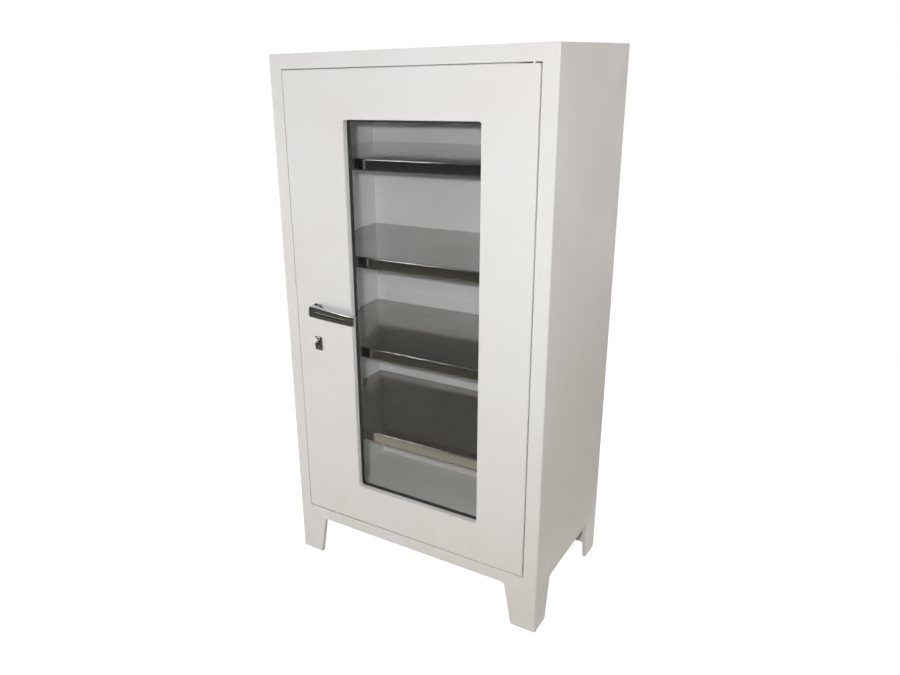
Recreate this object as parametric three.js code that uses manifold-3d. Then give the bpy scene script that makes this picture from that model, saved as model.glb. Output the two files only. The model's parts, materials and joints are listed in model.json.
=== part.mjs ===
// Glass door medical cabinet: a painted sheet-steel case on four tapered legs, one framed glass door
// on concealed pivots, a lever handle that drives two latch rods, a key lock, and polished steel
// shelves on slotted uprights. Millimetres, +Z up, front towards -Y.
import * as THREE from 'three';
import { mergeVertices } from 'three/addons/utils/BufferGeometryUtils.js';
import Module from 'manifold-3d';

// Case
const WIDTH = 640;
const DEPTH = 380; // front face of the frame to the back
const HEIGHT = 1200;
const SHEET = 1.2; // painted sheet of the case and the door
const STILE = 31; // frame beside the door
const TOP_RAIL = 30;
const BOTTOM_RAIL = 28;
const FRAME_RETURN = 30; // how far the frame folds back beside the door
const STOP_LIP = 14; // lip that the closed door meets
const BACK_FLANGE = 20;

// Legs
const LEG_HEIGHT = 102;
const LEG_TOP = 76; // face width where the leg meets the case
const LEG_FOOT = 59; // face width at the floor
const LEG_SHEET = 2;
const LEG_RETURN = 8; // fold along each inner edge
const LEG_FILLET = 6;

// Door
const GAP_LATCH = 2; // gap at the handle side
const GAP_HINGE = 3;
const GAP_ENDS = 2; // gap above and below
const DOOR_DEPTH = 24;
const BORDER_LATCH = 152; // door face between its edge and the window
const BORDER_HINGE = 110;
const BORDER_TOP = 97;
const BORDER_BOTTOM = 96;
const WINDOW_CORNER = 6;
const REVEAL = 13; // depth of the window's folded edge
const LAND = 12; // seat for the glass, folded out from the reveal
const GLASS = 4;
const GLASS_LAP = 8; // glass hidden behind the window's edge
const GASKET = 1.5;
const GASKET_SHOW = 5; // lip of the rubber seen inside the window's edge
const FIT = 0.3; // clearance between assembled pieces
const PORT_PLAY = 1; // room round a rod or a bolt where it enters the case
const CUT_PAST = 1; // how far a cutting shape runs past the faces that it cuts

// Concealed pivots
const PIVOT_INSET = 16; // axis from the door's hinge edge
const PIVOT_SETBACK = 9; // axis behind the front face
const PIN_RADIUS = 4;
const PIN_REACH = 24; // length of the pin inside the door
const BUSH_WALL = 2.7;
const BRACKET = 4;
const PIN_HEAD = 2.5;
const ROUND_SIDES = 24;

// Handle and latch
const HANDLE_INSET = 60; // spindle from the door's latch edge
const HANDLE_HEIGHT = 652;
const LEVER_LENGTH = 115; // spindle to the tip
const LEVER_HUB = 9; // spindle to the hub's rounded end
const LEVER_TALL = 27;
const LEVER_RISE = 4; // middle of the bar above the spindle
const LEVER_TIP_TALL = 23;
const LEVER_FRONT = 25; // front of the lever from the door
const LEVER_THICK = 8.5;
const LEVER_CROWN = 1; // bow of the lever's front
const LEVER_TIP_GAP = 6; // tip of the turned-in end to the door
const LEVER_DROOP = THREE.MathUtils.degToRad(3.5); // tip below level at rest
const NECK_RADIUS = 8;
const ROSE_RADIUS = 20;
const ROSE_THICK = 5;
const SPINDLE_RADIUS = 5;
const SPINDLE_SOCKET = 10;
const CRANK = 12; // spindle to each crank pin
const CRANK_PIN = 2.5;
const CAM_THICK = 3;
const CAM_SETBACK = 6;
const ROD_WIDE = 8;
const ROD_THICK = 4;
const ROD_CLEAR = 1; // between the crank plate and the rods
const ROD_INSET = 2; // rod's end inside the door's edge when drawn back
const FORK_PLAY = 0.8;
const FORK_FINGER = 4;
const GUIDE_INSET = 60; // rod guide from the door's end
const GUIDE_TALL = 14;
const GUIDE_WALL = 9;

// Lock
const LOCK_DROP = 77.5; // keyhole below the spindle
const LOCK_SHIFT = 4; // keyhole towards the latch edge
const LOCK_WIDE = 36;
const LOCK_TALL = 58;
const LOCK_DEEP = 15;
const BOLT_TALL = 16;
const BOLT_THICK = 8;
const BOLT_THROW = 12;
const BOLT_GRIP = 8; // bolt still inside the lock case when thrown
const PLATE_WIDE = 20;
const PLATE_TALL = 33;
const PLATE_THICK = 2;
const SCREW_RADIUS = 2;
const SCREW_HEAD = 3.2;
const SCREW_HEAD_THICK = 1.5;
const SCREW_SPAN = 24; // between the plate's two screws
const KEY_RADIUS = 3.5;
const KEY_SLOT = 2.4;
const KEY_TALL = 7.5;
const COVER_REACH = 24; // keyhole cover, from its screw to the middle of its round end
const COVER_RADIUS = 7;
const COVER_ASIDE = 57; // degrees that the cover is pushed aside

// Shelves
const SHELF_COUNT = 4;
const SHELF_LOWEST = 258.5; // lowest shelf above the underside of the case
const SHELF_HEADROOM = 208.3; // top shelf to the ceiling
const SHELF_SETBACK = 38; // front lip from the frame's front face
const SHELF_LIP = 25;
const SHELF_HEM = 9;
const SHELF_SHEET = 1.2;
const SHELF_GAP = 1; // shelf to the walls
const UPRIGHT_WIDE = 30;
const UPRIGHT_DEEP = 12;
const UPRIGHT_SHEET = 1.5;
const UPRIGHT_FRONT = 62; // front upright from the frame's front face
const UPRIGHT_BACK = 107; // rear upright from the back
const UPRIGHT_SHORT = 8; // space above and below an upright's slots
const SLOTS_PER_SHELF = 3; // slot steps from one shelf to the next
const SLOT_TALL = 16;
const SLOT_WIDE = 5;
const RUNNER_WIDE = 18;
const RUNNER_TALL = 20;
const RUNNER_PAST = 5; // runner beyond each upright

const BUMPER_RADIUS = 6;
const BUMPER_INSET = 40; // door bumper from the door's end

// Places worked out from the sizes
const frontY = -(DEPTH - LEVER_FRONT) / 2;
const caseTop = HEIGHT - SHEET;
const backFace = DEPTH - 2 * SHEET; // front of the back panel
const frameLow = LEG_HEIGHT + BOTTOM_RAIL;
const frameHigh = HEIGHT - TOP_RAIL;
const railDepth = FRAME_RETURN - SHEET;
const door = {
  left: STILE + GAP_LATCH,
  right: WIDTH - STILE - GAP_HINGE,
  low: frameLow + GAP_ENDS,
  high: frameHigh - GAP_ENDS,
};
const view = {
  left: door.left + BORDER_LATCH,
  right: door.right - BORDER_HINGE,
  low: door.low + BORDER_BOTTOM,
  high: door.high - BORDER_TOP,
};
const pivotX = door.right - PIVOT_INSET;
const boreRadius = PIN_RADIUS + FIT;
const bushRadius = boreRadius + BUSH_WALL;
const handleX = door.left + HANDLE_INSET;
const lockX = handleX - LOCK_SHIFT;
const lockZ = HANDLE_HEIGHT - LOCK_DROP;
const boltY = SHEET + LOCK_DEEP / 2;
const screwHigh = lockZ + SCREW_SPAN / 2;
const screwLow = lockZ - SCREW_SPAN / 2;
const glassFront = REVEAL + GASKET;
const glassBack = glassFront + GLASS;
const camBack = CAM_SETBACK + CAM_THICK;
const rodY = [camBack + ROD_CLEAR, camBack + ROD_CLEAR + ROD_THICK];
const rodShift = CRANK + CRANK_PIN + FORK_PLAY + FIT + ROD_WIDE / 2;
const shelfLow = LEG_HEIGHT + SHELF_LOWEST;
const shelfStep = (caseTop - SHELF_HEADROOM - shelfLow) / (SHELF_COUNT - 1);
const uprightFace = SHEET + UPRIGHT_DEEP; // inner face of an upright, from the outside of the case
const uprightY = [UPRIGHT_FRONT, DEPTH - UPRIGHT_BACK - UPRIGHT_WIDE];
const slotDrop = SHELF_SHEET + RUNNER_TALL / 2; // slot's middle below the shelf's top

// Booleans
const wasm = await Module();
wasm.setup();

function solid(geometry) {
  const bare = geometry.clone();
  bare.deleteAttribute('normal');
  bare.deleteAttribute('uv');
  const merged = mergeVertices(bare, 1e-4);
  const vertProperties = new Float32Array(merged.attributes.position.array);
  const triVerts = new Uint32Array(merged.index.array);
  return new wasm.Manifold(new wasm.Mesh({ numProp: 3, vertProperties, triVerts }));
}

function surface(manifold) {
  const mesh = manifold.getMesh();
  const geometry = new THREE.BufferGeometry();
  geometry.setAttribute('position', new THREE.BufferAttribute(mesh.vertProperties, 3));
  geometry.setIndex(new THREE.BufferAttribute(mesh.triVerts, 1));
  const flat = geometry.toNonIndexed();
  flat.computeVertexNormals();
  return flat;
}

function join(first, ...others) {
  return surface(others.reduce((sum, other) => sum.add(solid(other)), solid(first)));
}

function cut(first, ...tools) {
  return surface(tools.reduce((rest, tool) => rest.subtract(solid(tool)), solid(first)));
}

function common(first, second) {
  return surface(solid(first).intersect(solid(second)));
}

// Basic shapes, each given by where it starts and ends along the axes
const ordered = (range) => [Math.min(...range), Math.max(...range)];
const around = (middle, size) => [middle - size / 2, middle + size / 2];

function box(rangeX, rangeY, rangeZ) {
  const sides = [rangeX, rangeY, rangeZ].map(ordered);
  const lengths = sides.map(([low, high]) => high - low);
  const middles = sides.map(([low, high]) => (low + high) / 2);
  return new THREE.BoxGeometry(...lengths).translate(...middles);
}

function outline(points) {
  return new THREE.Shape(points.map(([a, b]) => new THREE.Vector2(a, b)));
}

function extrude(shape, range, curveSegments = 6) {
  const [low, high] = ordered(range);
  const settings = { depth: high - low, bevelEnabled: false, curveSegments };
  return new THREE.ExtrudeGeometry(shape, settings).translate(0, 0, low);
}

// A plan (x, y) raised along z, a front view (x, z) run back along y, a side view (y, z) run along x
const raise = extrude;

function runBack(shape, range, curveSegments) {
  const turned = extrude(shape, [-range[1], -range[0]], curveSegments);
  return turned.rotateX(Math.PI / 2);
}

function runAcross(shape, range, curveSegments) {
  const axes = new THREE.Matrix4().makeBasis(
    new THREE.Vector3(0, 1, 0),
    new THREE.Vector3(0, 0, 1),
    new THREE.Vector3(1, 0, 0),
  );
  return extrude(shape, range, curveSegments).applyMatrix4(axes);
}

function roundedRect([left, right], [low, high], radius) {
  const shape = new THREE.Shape();
  shape.absarc(right - radius, low + radius, radius, -Math.PI / 2, 0);
  shape.absarc(right - radius, high - radius, radius, 0, Math.PI / 2);
  shape.absarc(left + radius, high - radius, radius, Math.PI / 2, Math.PI);
  shape.absarc(left + radius, low + radius, radius, Math.PI, 1.5 * Math.PI);
  return shape;
}

function standing(radius, [x, y], [low, high], sides = ROUND_SIDES) {
  const round = new THREE.CylinderGeometry(radius, radius, high - low, sides);
  return round.rotateX(Math.PI / 2).translate(x, y, (low + high) / 2);
}

function lying(radius, [x, z], [near, far], sides = ROUND_SIDES) {
  const round = new THREE.CylinderGeometry(radius, radius, far - near, sides);
  return round.translate(x, (near + far) / 2, z);
}

// Finishes
const FINISHES = {
  paint: { color: 0xe0dedb, roughness: 0.45, metalness: 0 },
  polished: { color: 0x8f8c86, roughness: 0.18, metalness: 1 },
  chrome: { color: 0xc4c3c1, roughness: 0.1, metalness: 1 },
  zinc: { color: 0xa5a6a4, roughness: 0.4, metalness: 1 },
  brass: { color: 0xb08d4a, roughness: 0.35, metalness: 1 },
  rubber: { color: 0x2a2a26, roughness: 0.8, metalness: 0 },
  glass: { color: 0xdfe6e1, roughness: 0.03, metalness: 0, transparent: true, opacity: 0.25 },
};

const part = new THREE.Group();
const cabinet = new THREE.Group(); // x from the left side, y from the front face, z from the floor
cabinet.position.set(-WIDTH / 2, frontY, 0);
part.add(cabinet);

function piece(group, name, finish, geometry) {
  const mesh = new THREE.Mesh(geometry, new THREE.MeshStandardMaterial(FINISHES[finish]));
  mesh.name = name;
  group.add(mesh);
  return mesh;
}

// Case

// One folded side: outer wall, front stile, return beside the door and back flange.
// The latch side also has the lip that stops the door.
function sidePanel(atRight) {
  const plainEdge = [[STILE, FRAME_RETURN]];
  const stopEdge = [
    [STILE, railDepth],
    [STILE + STOP_LIP, railDepth],
    [STILE + STOP_LIP, FRAME_RETURN],
  ];
  const plan = [
    [0, 0],
    [STILE, 0],
    ...(atRight ? plainEdge : stopEdge),
    [STILE - SHEET, FRAME_RETURN],
    [STILE - SHEET, SHEET],
    [SHEET, SHEET],
    [SHEET, DEPTH - SHEET],
    [BACK_FLANGE, DEPTH - SHEET],
    [BACK_FLANGE, DEPTH],
    [0, DEPTH],
  ];
  const placed = plan.map(([x, y]) => [atRight ? WIDTH - x : x, y]);
  return raise(outline(placed), [LEG_HEIGHT, caseTop]);
}

function boltHole(rangeX, play) {
  return box(rangeX, around(boltY, BOLT_THICK + 2 * play), around(lockZ, BOLT_TALL + 2 * play));
}

const boltPort = boltHole([STILE - 2 * SHEET, STILE + SHEET], PORT_PLAY);
piece(cabinet, 'side_left', 'paint', cut(sidePanel(false), boltPort));
piece(cabinet, 'side_right', 'paint', sidePanel(true));
piece(cabinet, 'top_panel', 'paint', box([0, WIDTH], [0, DEPTH], [caseTop, HEIGHT]));

const innerX = [SHEET, WIDTH - SHEET];
const backPanel = box(innerX, [backFace, DEPTH - SHEET], [LEG_HEIGHT, caseTop]);
piece(cabinet, 'back_panel', 'paint', backPanel);

const floorPlan = outline([
  [STILE + STOP_LIP, SHEET],
  [WIDTH - STILE, SHEET],
  [WIDTH - STILE, FRAME_RETURN],
  [innerX[1], FRAME_RETURN],
  [innerX[1], backFace],
  [innerX[0], backFace],
  [innerX[0], FRAME_RETURN],
  [STILE + STOP_LIP, FRAME_RETURN],
]);
piece(cabinet, 'floor_panel', 'paint', raise(floorPlan, [LEG_HEIGHT, LEG_HEIGHT + SHEET]));

// Rails above and below the door: face, flange towards the back, and a stop lip that ends short of
// the hinge, where the door's edge swings in. Each has a hole for a latch rod and one for a pivot pin.
const railX = [STILE, WIDTH - STILE];
const swingRoom = Math.hypot(PIVOT_INSET, DOOR_DEPTH - PIVOT_SETBACK);
const lipX = [STILE + STOP_LIP + FIT, pivotX - swingRoom - STOP_LIP];

function rodHole(rodX, rangeZ, play) {
  const [near, far] = rodY;
  return box(around(rodX, ROD_WIDE + 2 * play), [near - play, far + play], rangeZ);
}

// The faceZ, flangeZ and lipZ ranges give a rail's three walls
function rail(faceZ, flangeZ, lipZ, rodX) {
  const walls = join(
    box(railX, [0, SHEET], faceZ),
    box(railX, [0, railDepth], flangeZ),
    box(lipX, [railDepth - SHEET, railDepth], lipZ),
  );
  const through = [flangeZ[0] - SHEET, flangeZ[1] + SHEET];
  const pinHole = standing(boreRadius, [pivotX, PIVOT_SETBACK], through);
  return cut(walls, rodHole(rodX, through, PORT_PLAY), pinHole);
}

const upperRodX = handleX - rodShift;
const lowerRodX = handleX + rodShift;
const topFlange = [frameHigh, frameHigh + SHEET];
const lowFlange = [frameLow - SHEET, frameLow];
const topLip = [frameHigh - STOP_LIP, frameHigh + SHEET];
const lowLip = [frameLow - SHEET, frameLow + STOP_LIP];
piece(cabinet, 'top_rail', 'paint', rail([frameHigh, caseTop], topFlange, topLip, upperRodX));
piece(cabinet, 'bottom_rail', 'paint', rail([LEG_HEIGHT, frameLow], lowFlange, lowLip, lowerRodX));

// Legs

// Face of a leg from its outer corner: tapered, with a small flare under the case
function legFace(across) {
  const flareLow = LEG_HEIGHT - LEG_FILLET;
  const shape = new THREE.Shape();
  shape.moveTo(across(0), 0);
  shape.lineTo(across(LEG_FOOT), 0);
  shape.lineTo(across(LEG_TOP), flareLow);
  shape.quadraticCurveTo(across(LEG_TOP), LEG_HEIGHT, across(LEG_TOP + LEG_FILLET), LEG_HEIGHT);
  shape.lineTo(across(0), LEG_HEIGHT);
  return shape;
}

// Fold along the tapered edge
function legFold(across) {
  return outline([
    [across(LEG_FOOT - LEG_SHEET), 0],
    [across(LEG_FOOT), 0],
    [across(LEG_TOP), LEG_HEIGHT - LEG_FILLET],
    [across(LEG_TOP - LEG_SHEET), LEG_HEIGHT - LEG_FILLET],
  ]);
}

function leg(atRight, atBack) {
  const alongX = (u) => (atRight ? WIDTH - u : u);
  const alongY = (u) => (atBack ? DEPTH - u : u);
  const seatX = [LEG_SHEET, LEG_TOP].map(alongX);
  const seatY = [LEG_SHEET, LEG_TOP].map(alongY);
  const wall = [0, LEG_SHEET];
  const fold = [0, LEG_RETURN];
  return join(
    runBack(legFace(alongX), ordered(wall.map(alongY)), 3),
    runAcross(legFace(alongY), ordered(wall.map(alongX)), 3),
    runBack(legFold(alongX), ordered(fold.map(alongY))),
    runAcross(legFold(alongY), ordered(fold.map(alongX))),
    box(seatX, seatY, [LEG_HEIGHT - LEG_SHEET, LEG_HEIGHT]),
  );
}

for (const [depthName, atBack] of [['front', false], ['back', true]]) {
  for (const [sideName, atRight] of [['left', false], ['right', true]]) {
    piece(cabinet, `leg_${depthName}_${sideName}`, 'paint', leg(atRight, atBack));
  }
}

// Shelving
const shelving = new THREE.Group();
cabinet.add(shelving);
const shelfTop = (index) => shelfLow + index * shelfStep;
const uprightZ = [LEG_HEIGHT + SHEET, caseTop];

// Channel against a side wall, with a row of slots that the runners hook into
function slottedUpright(atRight, near) {
  const far = near + UPRIGHT_WIDE;
  const acrossX = (x) => (atRight ? WIDTH - x : x);
  const plan = [
    [SHEET, near],
    [uprightFace, near],
    [uprightFace, far],
    [SHEET, far],
    [SHEET, far - UPRIGHT_SHEET],
    [uprightFace - UPRIGHT_SHEET, far - UPRIGHT_SHEET],
    [uprightFace - UPRIGHT_SHEET, near + UPRIGHT_SHEET],
    [SHEET, near + UPRIGHT_SHEET],
  ];
  const channel = raise(outline(plan.map(([x, y]) => [acrossX(x), y])), uprightZ);
  const slotX = [uprightFace - 2 * UPRIGHT_SHEET, uprightFace + UPRIGHT_SHEET].map(acrossX);
  const slotY = around((near + far) / 2, SLOT_WIDE);
  const slotStep = shelfStep / SLOTS_PER_SHELF;
  const slots = [];
  const below = Math.floor((shelfLow - slotDrop - uprightZ[0] - UPRIGHT_SHORT - SLOT_TALL) / slotStep);
  const lowest = shelfLow - slotDrop - below * slotStep;
  for (let z = lowest; z + SLOT_TALL / 2 < uprightZ[1] - UPRIGHT_SHORT; z += slotStep) {
    slots.push(box(slotX, slotY, around(z, SLOT_TALL)));
  }
  return cut(channel, ...slots);
}

// Angle under a shelf's end, with a hook in each upright
function runner(atRight, top) {
  const acrossX = (range) => (atRight ? range.map((x) => WIDTH - x) : range);
  const far = uprightY[1] + UPRIGHT_WIDE + RUNNER_PAST;
  const span = [uprightY[0] - RUNNER_PAST, far];
  const wall = acrossX([uprightFace, uprightFace + UPRIGHT_SHEET]);
  const ledge = acrossX([uprightFace, uprightFace + RUNNER_WIDE]);
  const hook = acrossX([uprightFace - UPRIGHT_SHEET - 2 * FIT, uprightFace + UPRIGHT_SHEET]);
  const hooks = uprightY.map((near) => box(
    hook,
    around(near + UPRIGHT_WIDE / 2, SLOT_WIDE - 2 * FIT),
    around(top - RUNNER_TALL / 2, SLOT_TALL - 2 * FIT),
  ));
  return join(
    box(wall, span, [top - RUNNER_TALL, top]),
    box(ledge, span, [top - UPRIGHT_SHEET, top]),
    ...hooks,
  );
}

// Tray notched round the uprights, with a hemmed front lip and a back lip
function shelf(top) {
  const low = top - SHELF_LIP;
  const under = top - SHELF_SHEET;
  const shelfX = [SHEET + SHELF_GAP, WIDTH - SHEET - SHELF_GAP];
  const shelfY = [SHELF_SETBACK, backFace - SHELF_GAP];
  const tray = join(
    box(shelfX, shelfY, [under, top]),
    box(shelfX, [shelfY[0], shelfY[0] + SHELF_SHEET], [low, top]),
    box(shelfX, [shelfY[0], shelfY[0] + SHELF_HEM], [low, low + SHELF_SHEET]),
    box(shelfX, [shelfY[1] - SHELF_SHEET, shelfY[1]], [low, top]),
  );
  const notches = uprightY.flatMap((near) => {
    const notchY = [near - SHELF_GAP, near + UPRIGHT_WIDE + SHELF_GAP];
    const deep = uprightFace + SHELF_GAP;
    return [[0, deep], [WIDTH - deep, WIDTH]].map((range) => box(range, notchY, [low, top + SHEET]));
  });
  return cut(tray, ...notches);
}

for (const [sideName, atRight] of [['left', false], ['right', true]]) {
  piece(shelving, `upright_front_${sideName}`, 'paint', slottedUpright(atRight, uprightY[0]));
  piece(shelving, `upright_back_${sideName}`, 'paint', slottedUpright(atRight, uprightY[1]));
}
for (let index = 0; index < SHELF_COUNT; index += 1) {
  const top = shelfTop(index);
  const number = index + 1;
  piece(shelving, `shelf_${number}`, 'polished', shelf(top));
  piece(shelving, `runner_${number}_left`, 'polished', runner(false, top - SHELF_SHEET));
  piece(shelving, `runner_${number}_right`, 'polished', runner(true, top - SHELF_SHEET));
}

// Door
const doorGroup = new THREE.Group();
cabinet.add(doorGroup);
const doorX = [door.left, door.right];
const doorZ = [door.low, door.high];

// The window's opening made wider on every side by an amount, from near to far
function windowBlock(wider, near, far) {
  const rangeX = [view.left - wider, view.right + wider];
  const rangeZ = [view.low - wider, view.high + wider];
  return runBack(roundedRect(rangeX, rangeZ, WINDOW_CORNER + Math.max(wider, 0)), [near, far], 3);
}

function windowFrame(inner, outer, near, far) {
  return cut(windowBlock(outer, near, far), windowBlock(inner, near - CUT_PAST, far + CUT_PAST));
}

function keyhole(near, far, play) {
  const foot = around(lockX, KEY_SLOT + 2 * play);
  return join(
    lying(KEY_RADIUS + play, [lockX, lockZ], [near, far], 12),
    box(foot, [near, far], [lockZ - KEY_TALL - play, lockZ]),
  );
}

// Face with folded edges, and the window's reveal with the seat for the glass folded out behind it
function doorSkin() {
  const inset = ([low, high]) => [low + SHEET, high - SHEET];
  const tray = cut(
    box(doorX, [0, DOOR_DEPTH], doorZ),
    box(inset(doorX), [SHEET, DOOR_DEPTH + CUT_PAST], inset(doorZ)),
  );
  const sleeve = windowFrame(0, SHEET, 0, REVEAL);
  const seat = windowFrame(0, LAND, REVEAL - SHEET, REVEAL);
  const through = windowBlock(0, -CUT_PAST, REVEAL + CUT_PAST);
  const framed = cut(join(tray, sleeve, seat), through);
  const endLow = [door.low - CUT_PAST, door.low + 2 * SHEET];
  const endHigh = [door.high - 2 * SHEET, door.high + CUT_PAST];
  const face = [-CUT_PAST, 2 * SHEET];
  const screwHoles = [screwHigh, screwLow].map(
    (z) => lying(SCREW_RADIUS + FIT, [lockX, z], face, 12),
  );
  return cut(
    framed,
    rodHole(upperRodX, endHigh, FORK_PLAY),
    rodHole(lowerRodX, endLow, FORK_PLAY),
    standing(bushRadius + FIT, [pivotX, PIVOT_SETBACK], endLow),
    standing(bushRadius + FIT, [pivotX, PIVOT_SETBACK], endHigh),
    boltHole([door.left - CUT_PAST, door.left + 2 * SHEET], FORK_PLAY),
    lying(NECK_RADIUS, [handleX, HANDLE_HEIGHT], face),
    keyhole(...face, FIT),
    ...screwHoles,
  );
}

// Back cover of the door, folded forward round the glass
const coverEdge = SHEET + FIT;
function innerPan() {
  const plateX = [door.left + coverEdge, door.right - coverEdge];
  const plateZ = [door.low + coverEdge, door.high - coverEdge];
  const near = DOOR_DEPTH - SHEET;
  const hole = LAND + FIT;
  const fold = windowFrame(hole, hole + SHEET, REVEAL + FIT, DOOR_DEPTH);
  const plate = box(plateX, [near, DOOR_DEPTH], plateZ);
  return cut(join(plate, fold), windowBlock(hole, REVEAL, DOOR_DEPTH + CUT_PAST));
}

piece(doorGroup, 'door_skin', 'paint', doorSkin());
piece(doorGroup, 'door_inner_pan', 'paint', innerPan());

// Glass in a rubber channel, held by four beads
const glass = windowBlock(GLASS_LAP, glassFront, glassBack);
piece(doorGroup, 'glass_pane', 'glass', glass);
const channel = windowFrame(-GASKET_SHOW, LAND - 2 * FIT, REVEAL, glassBack + GASKET);
const groove = windowBlock(GLASS_LAP + FIT, glassFront - FIT, glassBack + FIT);
piece(doorGroup, 'glass_gasket', 'rubber', cut(channel, groove));

const beadY = [glassBack + GASKET, DOOR_DEPTH];
const beadOuter = LAND - FIT;
const beadX = [view.left - beadOuter, view.right + beadOuter];
const sideZ = [view.low - FIT, view.high + FIT];
const beads = {
  top: box(beadX, beadY, [view.high + 2 * FIT, view.high + beadOuter]),
  bottom: box(beadX, beadY, [view.low - beadOuter, view.low - 2 * FIT]),
  left: box([view.left - beadOuter, view.left - FIT], beadY, sideZ),
  right: box([view.right + FIT, view.right + beadOuter], beadY, sideZ),
};
const beadRoom = windowBlock(LAND, beadY[0] - CUT_PAST, beadY[1] + CUT_PAST);
for (const [place, bead] of Object.entries(beads)) {
  piece(doorGroup, `glazing_bead_${place}`, 'polished', common(bead, beadRoom));
}

// Concealed pivots: a pin held by a bracket in each rail, turning in a bush in the door's end
const pivotAt = [pivotX, PIVOT_SETBACK];
const bracketX = [pivotX - 2 * PIVOT_INSET, door.right];
const bracketY = [SHEET + FIT, railDepth - 2 * SHEET];

function bracket([low, high]) {
  const hole = standing(boreRadius, pivotAt, [low - CUT_PAST, high + CUT_PAST]);
  return cut(box(bracketX, bracketY, [low, high]), hole);
}

function bush([low, high]) {
  const bore = standing(boreRadius, pivotAt, [low - CUT_PAST, high + CUT_PAST]);
  return cut(standing(bushRadius, pivotAt, [low, high]), bore);
}

const highSeat = topFlange[1] + BRACKET;
const lowSeat = lowFlange[0] - BRACKET;
const headRadius = PIN_RADIUS + PIN_HEAD;
const thrust = [frameLow, door.low - FIT]; // collar that carries the door
const highPin = join(
  standing(PIN_RADIUS, pivotAt, [door.high - PIN_REACH, highSeat + PIN_HEAD]),
  standing(headRadius, pivotAt, [highSeat, highSeat + PIN_HEAD]),
);
const lowPin = join(
  standing(PIN_RADIUS, pivotAt, [lowSeat - PIN_HEAD, door.low + PIN_REACH]),
  standing(headRadius, pivotAt, [lowSeat - PIN_HEAD, lowSeat]),
  standing(headRadius, pivotAt, thrust),
);
piece(cabinet, 'hinge_bracket_upper', 'zinc', bracket([topFlange[1], highSeat]));
piece(cabinet, 'hinge_bracket_lower', 'zinc', bracket([lowSeat, lowFlange[0]]));
piece(cabinet, 'hinge_pin_upper', 'zinc', highPin);
piece(cabinet, 'hinge_pin_lower', 'zinc', lowPin);
piece(doorGroup, 'hinge_bush_upper', 'brass', bush([door.high - PIN_REACH - FIT, door.high]));
piece(doorGroup, 'hinge_bush_lower', 'brass', bush([door.low, door.low + PIN_REACH + FIT]));

// Handle and latch, with the spindle's axis at the group's origin
const latch = new THREE.Group();
latch.position.set(handleX, 0, HANDLE_HEIGHT);
doorGroup.add(latch);

// Lever in plan: a hub, a bar standing off the door, and an end turned in towards the door
function lever() {
  const front = -LEVER_FRONT;
  const back = front + LEVER_THICK;
  const hubBack = back + LEVER_THICK / 2;
  const tip = LEVER_LENGTH;
  const bend = LEVER_THICK;
  const plan = new THREE.Shape();
  plan.moveTo(-LEVER_HUB, hubBack);
  plan.lineTo(-LEVER_HUB, front + bend / 2);
  plan.quadraticCurveTo(-LEVER_HUB, front + LEVER_CROWN, -LEVER_HUB / 2, front + LEVER_CROWN);
  plan.quadraticCurveTo(tip / 2, front - LEVER_CROWN, tip - bend, front + LEVER_CROWN);
  plan.quadraticCurveTo(tip, front + LEVER_CROWN, tip, front + bend);
  plan.lineTo(tip, -LEVER_TIP_GAP);
  plan.lineTo(tip - LEVER_THICK, -LEVER_TIP_GAP);
  plan.lineTo(tip - LEVER_THICK, back + bend / 2);
  plan.quadraticCurveTo(tip - LEVER_THICK, back, tip - LEVER_THICK - bend / 2, back);
  plan.lineTo(2 * LEVER_HUB, back);
  plan.quadraticCurveTo(LEVER_HUB, back, LEVER_HUB, hubBack);
  const bar = raise(plan, [-LEVER_TALL / 2, LEVER_TALL / 2], 5);
  const half = LEVER_TALL / 2;
  const tipHalf = LEVER_TIP_TALL / 2;
  const face = new THREE.Shape();
  face.moveTo(0, -half);
  face.lineTo(tip + CUT_PAST, -tipHalf);
  face.lineTo(tip + CUT_PAST, tipHalf);
  face.lineTo(0, half);
  face.quadraticCurveTo(-LEVER_HUB, half, -LEVER_HUB - FIT, 0);
  face.quadraticCurveTo(-LEVER_HUB, -half, 0, -half);
  const shaped = common(bar, runBack(face, [front - half, 0], 4)).translate(0, 0, LEVER_RISE);
  const neck = lying(NECK_RADIUS, [0, 0], [hubBack - CUT_PAST, -FIT]);
  const socket = lying(SPINDLE_RADIUS + FIT, [0, 0], [-FIT - SPINDLE_SOCKET, CUT_PAST]);
  return cut(join(shaped, neck), socket).rotateY(LEVER_DROOP);
}

// Domed plate round the neck
function rose() {
  const bore = NECK_RADIUS + 2 * FIT;
  const rim = ROSE_THICK / 3;
  const profile = [
    [bore, 0],
    [ROSE_RADIUS, 0],
    [ROSE_RADIUS, rim],
    [(ROSE_RADIUS + bore) / 2 + rim, ROSE_THICK - rim / 2],
    [bore + rim, ROSE_THICK],
    [bore, ROSE_THICK],
    [bore, 0],
  ].map(([radius, out]) => new THREE.Vector2(radius, out));
  return new THREE.LatheGeometry(profile, 32).rotateX(Math.PI);
}

// Each crank pin swings through a quarter turn, evenly about the level of the spindle
const pinReach = CRANK * Math.SQRT1_2;
const pinPlaces = { upper: [-pinReach, -pinReach], lower: [pinReach, pinReach] };
const pinEnd = rodY[1] + ROD_CLEAR;

function cam() {
  const disc = lying(CRANK + 2 * CRANK_PIN, [0, 0], [CAM_SETBACK, camBack]);
  const pins = Object.values(pinPlaces).map(
    (place) => lying(CRANK_PIN, place, [camBack - CUT_PAST, pinEnd], 16),
  );
  const bore = lying(SPINDLE_RADIUS + FIT, [0, 0], [CAM_SETBACK - CUT_PAST, camBack + CUT_PAST]);
  return cut(join(disc, ...pins), bore);
}

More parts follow.
